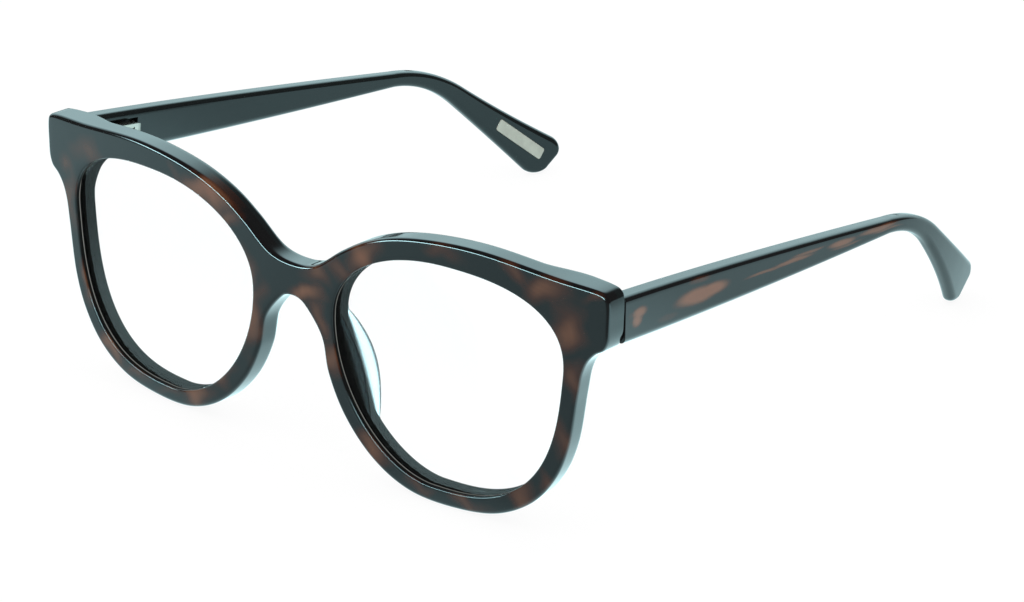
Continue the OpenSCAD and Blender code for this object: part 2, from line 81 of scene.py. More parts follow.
class GLASSES_PG_front(bpy.types.PropertyGroup):
    """Sizes of the front, its lenses and its nose pads."""

    lens_w: length("Lens width", "Width of a lens opening", 50.5)
    lens_gap: length("Lens gap", "Distance between the lens openings", 20)
    lens_top_h: length("Lens top", "Height of an opening above its widest line", 15)
    lens_low_h: length("Lens bottom", "Height of an opening below its widest line", 27.5)
    lens_lean: number("Lens lean", "Sideways lean of an opening for its height", 0.09)
    front_w: length("Front width", "Width over the end pieces", 138.8)
    front_t: length("Sheet", "Thickness of the acetate sheet", 4.6)
    end_t: length("End pieces", "Thickness of the end pieces at the joint faces", 4.4)
    bow_r: length("Bow", "Radius that the front is bowed to", 480)
    rim_low_w: length("Rim below", "Width of the rim under the lens", 3)
    rim_side_w: length("Rim outside", "Width of the rim at the outer side", 3.5)
    rim_nose_w: length("Rim at nose", "Width of the rim beside the nose", 3.6)
    brow_w: length("Brow", "Width of the brow above the lens", 4.2)
    bridge_top_z: length("Bridge top", "Height of the bridge above the widest line", 6.7)
    bridge_low_z: length("Bridge arch", "Height of the arch above the widest line", 0.2)
    front_edge_r: length("Front edge", "Radius of the outer edge on the front face", 0.8)
    back_edge_r: length("Back edge", "Radius of the outer edge on the back face", 0.8)
    joint_edge_r: length("Joint edge", "Radius of the end piece's back edge at the joint", 0.12)
    lip_w: length("Lip", "Polished lip round the lens openings", 0.3)
    groove_d: length("Groove depth", "Depth of the lens groove", 0.9)
    groove_w: length("Groove width", "Width of the lens groove", 1.8)
    groove_y: length("Groove place", "Depth of the groove behind the front face", 1.9)
    lens_fit: length("Lens fit", "Gap between a lens and its groove", 0.1)
    lens_dome: length("Lens dome", "Rise of a lens's front surface", 1.3)
    lens_add: length("Lens add", "Extra thickness of a lens at its middle", 0.4)
    pad_h: length("Pad height", "Height of a nose pad behind the rim", 3.8)
    pad_w: length("Pad width", "Width of a nose pad at its foot", 2.6)
    pad_lean: number("Pad lean", "Lean of a nose pad towards its lens", 0.75)
    end_z: length("End piece", "Height of the end piece's middle above the widest line", 12.4)
    skin: length("Skin", "Depth of the smooth outside within the solids", 0.02)
    hinge_low: length("Hinge drop", "Drop of the hinge below the end piece's middle", 0.5)
    hinge_back: length("Hinge back", "Distance of the hinge axis behind the joint face", 1.9)


class GLASSES_PG_temple(bpy.types.PropertyGroup):
    """Sizes of the temples and what is let into them."""

    drop: angle("Drop", "Downward angle of the temples", 5.7)
    toe_in: angle("Toe in", "Inward angle of the temples", 3.1)
    thick: length("Thickness", "Thickness at the hinge", 3.9)
    tip_t: length("Tip thickness", "Thickness at the tip", 3)
    root_h: length("Root height", "Height at the hinge", 8.6)
    root_low: length("Root drop", "Drop of the root below the hinge", 0.4)
    bend_h: length("Bend height", "Height at the bend", 3.1)
    tip_h: length("Tip height", "Height of the paddle at its end", 10.5)
    straight_l: length("Straight", "Length from the hinge to the bend", 84)
    bend_r: length("Bend radius", "Radius of the bend", 34)
    bend_angle: angle("Bend", "Angle of the bend", 34)
    paddle_l: length("Paddle", "Length beyond the bend", 29.5)
    tip_in: length("Tip curve", "Inward curve of the tip", 7)
    tip_slant: number("Tip slant", "Slant of the paddle's end for its height", 0.25)
    tip_corner_r: length("Tip corner", "Corner radius of the paddle's packed end", 3)
    tip_round_r: length("Tip round", "Corner radius of the paddle's smooth end", 3.7)
    edge_r: length("Edge", "Edge radius at the root", 1.1)
    tip_edge_r: length("Tip edge", "Edge radius at the tip", 1.4)
    root_chamfer: length("Root chamfer", "Chamfer round the root's cut", 0.1)
    butt_gap: length("Joint gap", "Gap between temple and front", 0.15)
    inner_x: length("Inner face", "Inner face, outwards of the hinge axis", 0.4)
    housing_y0: length("Housing start", "Start of the flex housing behind the hinge axis", 3)
    housing_l: length("Housing length", "Length of the flex housing", 10)
    housing_w: length("Housing width", "Width of the flex housing", 3.2)
    housing_h: length("Housing height", "Height of the flex housing", 3.4)
    hinge_half: length("Hinge half", "Half height of the knuckles", 2.35)
    knuckle_r: length("Knuckle", "Radius of the knuckles", 1.6)
    plate_l: length("Plate length", "Length of the bare plate on one tip", 14)
    plate_w: length("Plate width", "Width of the bare plate", 2.6)
    plate_t: length("Plate thickness", "Thickness of the bare plate", 0.5)


class GLASSES_PG_finish(bpy.types.PropertyGroup):
    """Colours and gloss of the finishes."""

    dark: colour("Dark", "Dark ground of the tortoiseshell", (0.008, 0.006, 0.006, 1))
    ember: colour("Ember", "Deep red where light meets dark", (0.045, 0.013, 0.006, 1))
    brown: colour("Brown", "Brown of the patches", (0.125, 0.050, 0.024, 1))
    amber: colour("Amber", "Lightest amber in the patches", (0.215, 0.085, 0.042, 1))
    lining: colour("Lining", "Black layer at the back and inside", (0.0085, 0.0095, 0.0095, 1))
    # Painted highlight: the seat colour is a pale line standing for the reflection of the lens's edge on the
    # lens-opening wall
    seat: colour("Lens seat", "Pale line where a lens meets its rim", (0.30, 0.31, 0.29, 1))
    sheen_tint: colour("Gloss tint", "Tint of the gloss on the acetate", (0.82, 0.97, 1.0, 1))
    metal: colour("Metal", "Nickel silver of the hinges", (0.48, 0.465, 0.42, 1))
    plate: colour("Plate", "Satin plate on one tip", (0.56, 0.60, 0.52, 1))
    clear: colour("Clear", "Lens plastic", (0.97, 0.99, 0.985, 1))
    pad: colour("Pad", "Clear acetate of the nose pads", (0.42, 0.52, 0.57, 1))
    gloss: number("Gloss", "Roughness of polished acetate", 0.07, min=0, max=1)


class GLASSES_PG_stage(bpy.types.PropertyGroup):
    """Floor, light and camera. The levels after the light are brightnesses that only the gloss sees."""

    floor_size: number("Floor", "Width of the floor", 8, unit="LENGTH")
    light: number("Light", "Level of the plain light all round", 0.95)
    room: number("Room", "The dark room", 0.1)
    backdrop: number("Backdrop", "The backdrop behind", 2.4)
    strip: number("Strip", "The strip light in front", 28)
    near: number("Near floor", "The floor in front", 0.65)
    near_right: number("Near right", "Added in front, to the wearer's right", 0.55)
    far: number("Middle floor", "The floor under the front", 2.5)
    rear: number("Rear floor", "The floor under the temples", 1.0)
    beside: number("Side floor", "Added at the left temple", 0.25)
    corner: number("Dark corner", "Share lacking in front, to the wearer's left", 0.85)
    rest: number("Outer floor", "The floor all round", 0.12)
    tint: colour("Tint", "Tint of all these", (0.68, 0.96, 1.0, 1))
    lens: number("Camera lens", "Focal length in millimetres", 130.0)
    camera_round: angle("Camera round", "Angle of the camera from straight ahead to the wearer's left", 40.249)
    camera_rise: angle("Camera rise", "Angle of the camera above the front", 20.857)
    camera_roll: angle("Camera roll", "Turn of the camera about its view", 0.836)


def sizes(group):
    """A property group's values as plain attributes."""
    return getattr(bpy.context.scene, "glasses_" + group)


# Frames of reference, in metres: the front's own frame, each temple's frame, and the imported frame


def turn_x(a):
    """The matrix that turns points about x."""
    c, s = math.cos(a), math.sin(a)
    return np.array([[1, 0, 0], [0, c, -s], [0, s, c]])


def turn_z(a):
    """The matrix that turns points about z."""
    return np.roll(turn_x(a), 2, (0, 1))


def arm_place():
    """A temple's turn and hinge point in the front's frame: dropped, then toed in."""
    f, t = sizes("front"), sizes("temple")
    side_x = f.front_w / 2
    joint_y = side_x**2 / (2 * f.bow_r) + f.end_t
    hinge = np.array([side_x - t.inner_x - t.thick, joint_y + f.hinge_back, f.end_z - f.hinge_low])
    return turn_z(t.toe_in) @ turn_x(-t.drop), hinge


def stand_place():
    """The front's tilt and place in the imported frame, from the left hinge's axis and point."""
    turn, hinge = arm_place()
    joints = {j["name"]: j for j in frame["joints"]}
    own = turn @ np.array([0, 0, 1])
    packed = np.array(joints["fold_left"]["axis"])
    tilt = math.atan2(packed[2], packed[1]) - math.atan2(own[2], own[1])
    turned = turn_x(tilt)
    return turned, np.array(joints["fold_left"]["pos_m"]) - turned @ hinge


def from_front(points, side=1):
    """Points of the front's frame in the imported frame, mirrored for the right side."""
    turn, shift = stand_place()
    return (points * [side, 1, 1]) @ turn.T + shift


def to_front(points):
    """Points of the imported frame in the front's frame."""
    turn, shift = stand_place()
    return (points - shift) @ turn


def from_arm(points, side):
    """Points of a temple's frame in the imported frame."""
    turn, hinge = arm_place()
    return from_front(points @ turn.T + hinge, side)


def to_arm(points, side):
    """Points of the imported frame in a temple's frame."""
    turn, hinge = arm_place()
    return (to_front(points) * [side, 1, 1] - hinge) @ turn


# Mesh helpers: the welding distance in metres, and the angle from which edges stay sharp

WELD = 2e-6
SHARP = math.radians(40)
BOX_FACES = [(0, 1, 3, 2), (4, 6, 7, 5), (0, 4, 5, 1), (2, 3, 7, 6), (0, 2, 6, 4), (1, 5, 7, 3)]


def mix(a, b, k):
    """The value a share k of the way from a to b."""
    return a + (b - a) * k


def ease(k):
    """A smooth step from 0 to 1."""
    c = np.clip(k, 0, 1)
    return c * c * (3 - 2 * c)


def grid_quads(rows, cols, close_rows=False):
    """The quads of a grid whose columns close on themselves, and whose rows may."""
    i, j = np.meshgrid(np.arange(rows - (not close_rows)), np.arange(cols), indexing="ij")
    below, beside = (i + 1) % rows, (j + 1) % cols
    corners = [i * cols + j, i * cols + beside, below * cols + beside, below * cols + j]
    return np.stack(corners, -1).reshape(-1, 4)


def put_object(name, data):
    """An object in the scene, at the origin."""
    made = bpy.data.objects.new(name, data)
    bpy.context.scene.collection.objects.link(made)
    return made


def make_piece(name, points, faces, cap=False):
    """A mesh object from points and faces, welded, capped if asked, and turned outwards."""
    mesh = bpy.data.meshes.new(name)
    mesh.from_pydata(points.reshape(-1, 3), [], faces)
    work = bmesh.new()
    work.from_mesh(mesh)
    bmesh.ops.remove_doubles(work, verts=work.verts, dist=WELD)
    loose = [v for v in work.verts if not v.link_faces]
    bmesh.ops.delete(work, geom=loose, context="VERTS")
    if cap:
        bmesh.ops.holes_fill(work, edges=work.edges, sides=0)
    bmesh.ops.recalc_face_normals(work, faces=work.faces)
    if work.calc_volume(signed=True) < 0:
        bmesh.ops.reverse_faces(work, faces=work.faces)
    if any(not e.is_manifold for e in work.edges):
        raise RuntimeError(name + " isn't closed")
    work.to_mesh(mesh)
    work.free()
    return put_object(name, mesh)


def box_points(low, high):
    """The eight corners between two points."""
    x, y, z = np.meshgrid(*zip(low, high), indexing="ij")
    return np.stack([x, y, z], -1).reshape(-1, 3)


def apply_modifiers(piece):
    """The piece's mesh with its modifiers worked in."""
    graph = bpy.context.evaluated_depsgraph_get()
    done = bpy.data.meshes.new_from_object(piece.evaluated_get(graph))
    piece.modifiers.clear()
    old, piece.data = piece.data, done
    bpy.data.meshes.remove(old)
    done.name = piece.name


def cut_away(piece, cutters):
    """The piece less the cutters, which are then removed."""
    for cutter in cutters:
        cut = piece.modifiers.new("cut", "BOOLEAN")
        cut.operation = "DIFFERENCE"
        cut.solver = "EXACT"
        cut.object = cutter
    apply_modifiers(piece)
    for cutter in cutters:
        mesh = cutter.data
        bpy.data.objects.remove(cutter)
        bpy.data.meshes.remove(mesh)
    if not len(piece.data.polygons):
        raise RuntimeError(piece.name + " was cut away")


def mesh_points(piece):
    """The mesh's points as an array."""
    points = np.empty(len(piece.data.vertices) * 3)
    piece.data.vertices.foreach_get("co", points)
    return points.reshape(-1, 3)


def put_attribute(piece, name, values):
    """A number for each point of the mesh, for its material to read."""
    made = piece.data.attributes.new(name, "FLOAT", "POINT")
    made.data.foreach_set("value", np.ascontiguousarray(values, dtype=np.float32))


def dress(piece, material, body, node):
    """Smooth shading, a material, the body it rides on and the node it stands for."""
    piece.data.shade_smooth()
    piece.data.set_sharp_from_angle(angle=SHARP)
    piece.data.materials.clear()
    piece.data.materials.append(material)
    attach(piece, body)
    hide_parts(node)


# The front's outline

# Powers of a lens opening's quarters, keys of the arch and the end piece, angles round the lens, where the
# end piece's back turns flat, and steps of a section and along the outline
LENS_POWERS = 2.5, 2.1, 2.8, 1.8
NORMAL_STEP = math.radians(2)
ARCH_KEYS = np.array([[0, 0], [1.8, -0.3], [3.4, -1.4]]) * MM
END_KEYS = np.array([[6, -15], [5.2, -10.5], [4.1, -7.9], [2.7, -6.3], [1.1, -5.2], [0.25, -3.4],
                     [0, 0], [0, 3.4], [0.25, 4.5], [1, 5.2], [2.2, 5.5], [10, 6]]) * MM
SHOULDER_KEY = np.array([5.4, 0.9]) * MM
RIM_ANGLES = np.radians([193, 206, 222, 240, 258, 276, 294, 312, 328, 342])
LOWEST_ANGLE = math.radians(270)
BROW_ANGLES = np.radians([80, 98, 116, 132, 146])
BROW_MORE = np.array([0.6, 0, -0.1, 0, 0.3]) * MM
FLAT_ACROSS, FLAT_ACROSS_FADE = 16 * MM, 9.6 * MM
FLAT_UP, FLAT_UP_FADE = 9 * MM, 4 * MM
LIP_STEPS, FACE_STEPS, EDGE_STEPS, BACK_EDGE_STEPS, BACK_STEPS, BRIDGE_STEPS = 4, 8, 10, 6, 9, 16
FRONT_STEP = 0.55 * MM


def lens_power(across, up):
    """The superellipse's power in each quarter of a lens opening."""
    a, b, c, d = LENS_POWERS
    return np.where(up >= 0, np.where(across >= 0, a, b), np.where(across >= 0, c, d))


def lens_middle():
    """Distance of a lens opening's middle from the middle of the bridge."""
    f = sizes("front")
    return (f.lens_gap + f.lens_w) / 2


def lens_edge(t):
    """Points of a lens opening: four superellipse quarters round the lens's middle, leaned outwards."""
    f = sizes("front")
    c, s = np.cos(t), np.sin(t)
    e = 2 / lens_power(c, s)
    z = np.where(s >= 0, f.lens_top_h, f.lens_low_h) * np.sign(s) * np.abs(s) ** e
    return np.stack([lens_middle() + f.lens_lean * z + f.lens_w / 2 * np.sign(c) * np.abs(c) ** e, z], -1)


def lens_level(q):
    """How far points lie outside a lens opening, as a share of its half size: 0 on its edge."""
    f = sizes("front")
    x = (q[..., 0] - lens_middle() - f.lens_lean * q[..., 1]) / (f.lens_w / 2)
    z = q[..., 1] / np.where(q[..., 1] >= 0, f.lens_top_h, f.lens_low_h)
    e = lens_power(x, z)
    return (np.abs(x) ** e + np.abs(z) ** e) ** (1 / e) - 1


def lens_normal(t):
    """Outward directions on a lens opening, from points a small step either side."""
    d = lens_edge(t + NORMAL_STEP) - lens_edge(t - NORMAL_STEP)
    d /= np.linalg.norm(d, axis=-1, keepdims=True)
    return np.stack([d[..., 1], -d[..., 0]], -1)


def rim_width(t):
    """The rim's width round the lower lens: widest at the two lower corners."""
    f = sizes("front")
    side = np.where(t < LOWEST_ANGLE, f.rim_nose_w, f.rim_side_w)
    return f.rim_low_w + (side - f.rim_low_w) * np.abs(np.sin(2 * t))


def outline_keys():
    """The outline's points: arch, rim set off from the lens, end piece, brow and bridge."""
    f = sizes("front")
    arch = ARCH_KEYS + [0, f.bridge_low_z]
    rim = lens_edge(RIM_ANGLES) + lens_normal(RIM_ANGLES) * rim_width(RIM_ANGLES)[:, None]
    end = END_KEYS * [-1, 1] + [f.front_w / 2, f.end_z]
    brow = lens_edge(BROW_ANGLES) + lens_normal(BROW_ANGLES) * (f.brow_w + BROW_MORE)[:, None]
    bridge = np.array([SHOULDER_KEY, [0, 0]]) + [0, f.bridge_top_z]
    return np.concatenate([arch, rim, end, brow, bridge])


def outline(step):
    """A smooth curve through the keys: cubic spans, tangents weighted by the root of the spacing."""
    keys = outline_keys()
    flip = np.array([-1, 1])
    keys = np.concatenate([[keys[1] * flip], keys, [keys[-2] * flip]])
    gap = np.sqrt(np.linalg.norm(np.diff(keys, axis=0), axis=1))[:, None]
    d, e = gap[:-1], gap[1:]
    a, b, c = keys[:-2], keys[1:-1], keys[2:]
    slope = (b - a) / d - (c - a) / (d + e) + (c - b) / e
    counts = np.ceil(gap[1:-1, 0] ** 2 / step).astype(int)
    span = np.repeat(np.arange(len(counts)), counts)
    u = (np.arange(len(span)) - np.repeat(np.cumsum(counts) - counts, counts)) / counts[span]
    u = u[:, None]
    scale = gap[1:-1][span]
    curve = ((2 * u**3 - 3 * u**2 + 1) * b[span] + (u**3 - 2 * u**2 + u) * slope[span] * scale
             + (3 * u**2 - 2 * u**3) * b[span + 1] + (u**3 - u**2) * slope[span + 1] * scale)
    return np.concatenate([curve, keys[-2:-1]])


def sag(x):
    """How far the bowed sheet falls back at a distance from its middle."""
    return x**2 / (2 * sizes("front").bow_r)


def squared(q):
    """How far the end piece's back has turned flat towards the joint face, from 0 to 1."""
    f = sizes("front")
    across = ease((q[..., 0] - f.front_w / 2 + FLAT_ACROSS) / FLAT_ACROSS_FADE)
    return across * ease((q[..., 1] - f.end_z + FLAT_UP) / FLAT_UP_FADE)


def back_depth(q):
    """The sheet's depth behind its front face."""
    f = sizes("front")
    joint_y = sag(f.front_w / 2) + f.end_t
    return mix(f.front_t, joint_y - sag(q[..., 0]), squared(q))


def bowed(q, depth):
    """Outline points laid on the bowed sheet, at a depth square to its front face."""
    f = sizes("front")
    x = q[..., 0] * (1 - depth / f.bow_r * (1 - squared(q)))
    return np.stack([x, sag(q[..., 0]) + depth, q[..., 1] + 0 * depth], -1)


def quarter(steps):
    """Angles of a quarter turn, as a column for each step."""
    return np.linspace(0, math.pi / 2, steps + 1)[None, :]


def front_rows(step=FRONT_STEP):
    """The rim's spokes from lens to outline: angles, ends, outward normals, marks of the bridge, and shares
    of the way down it."""
    f = sizes("front")
    rim = outline(step)
    d = np.gradient(rim, axis=0)
    d /= np.linalg.norm(d, axis=1, keepdims=True)
    normal = np.stack([d[:, 1], -d[:, 0]], -1)
    normal[0], normal[-1] = (0, -1), (0, 1)
    rim = rim - normal * f.skin
    share = np.arange(1, BRIDGE_STEPS + 1) / (BRIDGE_STEPS + 1)
    bar = np.stack([0 * share, mix(f.bridge_top_z, f.bridge_low_z, share)], -1)
    ends = np.concatenate([rim, bar])
    t = np.arctan2(ends[:, 1], ends[:, 0] - lens_middle()) % (2 * math.pi)
    return t, ends, np.concatenate([normal, 0 * bar]), np.arange(len(ends)) >= len(rim), share


def front_grid():
    """One half of the front: for each spoke, a section from the lip over the front face, the rounded outer
    edge and the back face to the lens groove. Quads on the middle plane are left out."""
    f = sizes("front")
    t, o, m, bar, share = front_rows()
    o, m, free = o[:, None], m[:, None], ~bar[:, None]
    i, n = lens_edge(t)[:, None], lens_normal(t)[:, None]
    rf, rb = f.front_edge_r + 0 * free, mix(f.back_edge_r, f.joint_edge_r, squared(o))

    def ends(edge):
        q = o.copy()
        q[bar, 0, 1] = mix(f.bridge_top_z - edge, f.bridge_low_z + edge, share)
        return q

    f_end, b_end = ends(f.front_edge_r), ends(f.back_edge_r)
    deep = back_depth(b_end)
    lip, q = f.lip_w, quarter(LIP_STEPS)
    lip_in = i + n * (lip * (1 - np.cos(q)))[..., None]
    parts = [bowed(lip_in, lip * (1 - np.sin(q)) + 0 * rf)]
    k = np.linspace(0, 1, FACE_STEPS)[None, 1:-1, None]
    parts.append(bowed(mix(i + n * lip, f_end - m * rf[..., None], k), 0 * rf))
    first = sum(p.shape[1] for p in parts)
    q = quarter(EDGE_STEPS)
    parts.append(bowed(f_end - m * (rf * (1 - np.sin(q)))[..., None], free * rf * (1 - np.cos(q))))
    k = np.linspace(0, 1, FACE_STEPS)[None, 1:-1]
    parts.append(bowed(mix(f_end, b_end, k[..., None]), mix(rf, deep - rb, k)))
    q = quarter(BACK_EDGE_STEPS)[:, ::-1]
    parts.append(bowed(b_end - m * (rb * (1 - np.sin(q)))[..., None], deep - free * rb * (1 - np.cos(q))))
    last = sum(p.shape[1] for p in parts) - 1
    k = np.linspace(1, 0, BACK_STEPS)[None, 1:-1, None]
    inner = mix(i + n * lip, b_end - m * rb[..., None], k)
    parts.append(bowed(inner, back_depth(inner)))
    q = quarter(LIP_STEPS)[:, ::-1]
    parts.append(bowed(lip_in[:, ::-1], back_depth(i) - lip * (1 - np.sin(q))))
    half = f.groove_w / 2
    for offset, depth in ((0, f.groove_y + half), (f.groove_d, f.groove_y), (0, f.groove_y - half)):
        parts.append(bowed(i + n * offset, depth + 0 * rf))
    points = np.concatenate(parts, axis=1)
    rows, cols = points.shape[:2]
    quads = grid_quads(rows, cols, close_rows=True).reshape(rows, cols, 4)
    middle = bar.copy()
    middle[[0, np.sum(free) - 1]] = True
    seam = (middle & np.roll(middle, -1))[:, None] & (np.arange(cols) >= first) & (np.arange(cols) < last)
    return points, quads[~seam]


# Patches of the tortoiseshell

# Middle across the front or along a temple, middle up, half width, half height, strength, slant; millimetres
FRONT_PATCHES = np.array([
    [17, 13, 2.8, 2.5, 0.9, 0.3], [12.5, 8.5, 2.5, 1.6, 0.45, 0.3], [6, 6, 2.8, 1.8, 0.6, 0],
    [4, 1.8, 2.8, 1.5, 0.85, 0.1], [7.5, -2, 2, 2.6, 0.55, -0.3], [9.5, -9, 1.8, 3.2, 0.6, -0.4],
    [19, -24, 2.8, 2, 0.65, -0.6], [30, -28, 3, 1, 0.4, 0], [41, -28.5, 3, 1.2, 0.5, 0],
    [53, -24.8, 2.2, 2.6, 0.6, 0.3], [57.5, -19.5, 1.6, 1.8, 0.45, 0], [61, -11, 2.4, 2.6, 0.48, 0],
    [63, 0, 2.2, 2.8, 0.5, 0], [61.3, 10, 2.7, 3.4, 0.64, 0.2], [56.5, 15.4, 3.6, 2.1, 0.62, 0.4],
    [51, 17.7, 2.6, 1.4, 0.5, 0], [35, 17.3, 3, 1.4, 0.35, 0], [66.5, 17, 1.6, 0.9, 0.45, 0],
    [-22, 14.5, 4.8, 2.3, 0.95, -0.2], [-23, 18.5, 3, 0.8, 0.55, 0], [-16, 11, 2.4, 1.5, 0.55, -0.4],
    [-11.5, 2, 1.8, 3.6, 0.5, 0], [-10, -7, 1.9, 5.5, 0.65, 0.25], [-18.5, -21, 2.4, 2.2, 0.55, 0.5],
    [-26, -26, 3.2, 2.2, 0.85, 0.2], [-34, -28, 2.5, 1.2, 0.4, 0], [-42.5, -28, 3.4, 1.4, 0.5, 0],
    [-50, -25, 3, 1.9, 0.8, -0.5], [-58, -14, 1.4, 3.4, 0.65, 0], [-62.5, 1.5, 2, 4, 0.5, 0],
    [-56, 13.5, 4, 2, 0.42, 0.2], [-64, 9.5, 1.7, 1.5, 0.45, 0], [-30, 16.5, 2, 1.2, 0.3, 0],
])
TEMPLE_PATCHES = np.array([
    [2.2, 0.8, 1.9, 0.9, 1.0, 0], [1.6, -0.5, 1.3, 1.1, 1.0, 0], [20, 0.1, 6, 1.35, 1.1, 0.4],
    [24, 0.35, 4.5, 1.1, 1.1, 0], [20, 2.9, 3, 0.5, 0.4, 0], [11, -2, 3, 0.7, 0.3, 0],
    [41, 0.1, 6, 0.28, 0.75, 0], [50, 0.3, 6, 0.4, 0.85, 0], [55, 0.9, 5, 0.3, 0.7, 0],
    [66.5, 0.4, 4.2, 0.6, 0.95, 0], [68, -0.4, 5, 0.25, 0.6, 0], [79, 0.6, 6, 0.5, 0.85, 0],
    [82, 0, 5, 0.25, 0.6, 0],
])


def patch_field(patches, across, up, waver, crisp):
    """The strongest of the patches at each point: bell curves over slanted ellipses with wavering edges."""
    x, z, rx, rz, strength, slant = (patches[:, k, None] for k in range(6))
    a, b = across / MM, up / MM
    wave_a = np.sin(0.6 * b + 0.3 * a) + 0.3 * np.sin(1.3 * b - 0.5 * a + 1)
    wave_b = np.sin(0.55 * a - 0.25 * b + 2) + 0.3 * np.sin(1.2 * a + 0.4 * b)
    dx, dz = (a + waver * wave_a)[None] - x, (b + waver * wave_b)[None] - z
    fall = ((dx - slant * dz) / rx) ** 2 + ((dz + 0 * dx) / rz) ** 2
    return np.max(strength * np.exp(-0.6 * fall**crisp), axis=0)


# Materials: scales of the noises for each metre, and depths as shares of the sheet

CLOUD_SCALE, CLOUD_EFFECT = 160, 0.3
MOTTLE_SCALE, MOTTLE_EFFECT = 520, 0.04
RIPPLE_SCALE, HAZE_SCALE, DULL_SCALE = 140, 300, 500
SHELL_LEVELS = 0.1, 0.34, 0.66, 1.0
LAYER_DEPTHS = 0.585, 0.605
# Depths of the pale seat line, a painted highlight standing for the reflection of the lens's edge
SEAT_HIGHLIGHT_DEPTHS = 0.175, 0.19, 0.21, 0.225
DRAWN_SCALE = 9000.0, 500.0, 9000.0
PLASTIC_IOR = 1.5
MATT = 0.6


class Value:
    """A socket of a node tree: arithmetic on it adds Math nodes, and node() adds any other node."""

    def __init__(self, tree, socket=None):
        self.tree = tree
        self.socket = socket

    def node(self, kind, settings=None, inputs=None, out=0):
        """Adds a node: its settings first, then its sockets' values or links. Returns an output."""
        made = self.tree.nodes.new("ShaderNode" + kind)
        for key, value in (settings or {}).items():
            if key == "stops":
                for at, tone in value[2:]:
                    made.color_ramp.elements.new(at)
                for stop, (at, tone) in zip(made.color_ramp.elements, value):
                    stop.position, stop.color = at, tone
            else:
                setattr(made, key, value)
        for key, value in (inputs or {}).items():
            if isinstance(value, Value):
                self.tree.links.new(value.socket, made.inputs[key])
            else:
                made.inputs[key].default_value = value
        return Value(self.tree, made.outputs[out]) if len(made.outputs) else None

    def maths(self, operation, *values):
        """A Math node on values or numbers."""
        return self.node("Math", {"operation": operation}, dict(enumerate(values)))

    def __add__(self, other):
        return self.maths("ADD", self, other)

    def __sub__(self, other):
        return self.maths("SUBTRACT", self, other)

    def __rsub__(self, other):
        return self.maths("SUBTRACT", other, self)

    def __mul__(self, other):
        return self.maths("MULTIPLY", self, other)

    __radd__ = __add__
    __rmul__ = __mul__

    def step(self, low, high, to_low=0.0, to_high=1.0):
        """A smooth step of this value between two levels."""
        return self.node("MapRange", {"interpolation_type": "SMOOTHSTEP"},
                         {0: self, 1: low, 2: high, 3: to_low, 4: to_high})

    def blend(self, a, b):
        """Colour a where this value is 0, and b where it is 1."""
        return self.node("Mix", {"data_type": "RGBA"}, {0: self, 6: a, 7: b}, out=2)

    def split(self):
        """The three parts of a vector."""
        made = self.node("SeparateXYZ", {}, {0: self}).socket.node
        return [Value(self.tree, part) for part in made.outputs]

    def tinted(self, tone):
        """A colour as bright as this value."""
        return self.node("VectorMath", {"operation": "SCALE"}, {0: tone[:3], "Scale": self})

    def band(self, low, full, fade, high):
        """1 between two levels, with a smooth step at each end."""
        return self.step(low, full) * (1 - self.step(fade, high))

    def shaders(self, a, b):
        """Shader a where this value is 0, and b where it is 1."""
        return self.node("MixShader", {}, {0: self, 1: a, 2: b})

    def attribute(self, name):
        """The number that the mesh holds at each point."""
        return self.node("Attribute", {"attribute_name": name}, out=2)

    def place(self):
        """Object coordinates."""
        return self.node("TexCoord", out=3)

    def noise(self, place, scale, detail=1.0, warp=0.0):
        """A cloudy value round 0.5 at a place."""
        return self.node("TexNoise", {}, {"Vector": place, "Scale": scale, "Detail": detail,
                                          "Distortion": warp})

    def bump(self, height, strength, distance):
        """A normal bent by a height."""
        return self.node("Bump", {}, {"Strength": strength, "Distance": distance, "Height": height})


def new_nodes(owner):
    """The start of a material's or world's nodes, emptied."""
    owner.use_nodes = True
    owner.node_tree.nodes.clear()
    return Value(owner.node_tree)


def new_material(name):
    """An empty material and the start of its nodes."""
    made = bpy.data.materials.new(name)
    return made, new_nodes(made)


def principled(start, **sockets):
    """The Principled shader with its sockets' values."""
    named = {key.replace("_", " "): value for key, value in sockets.items()}
    return start.node("BsdfPrincipled", {}, named)


def close_material(start, shader):
    """The material's output."""
    start.node("OutputMaterial", {}, {"Surface": shader})


def ray_kinds(start):
    """Whether a ray is in view, straight or through a lens, and whether it comes from a gloss."""
    camera, through, gloss = (start.node("LightPath", out=key) for key in
                              ("Is Camera Ray", "Is Transmission Ray", "Is Glossy Ray"))
    return start.maths("MAXIMUM", camera, through), gloss


def darker(tone, share):
    """A colour with its brightness lowered to a share."""
    return tuple(share * v for v in tone[:3]) + (1,)


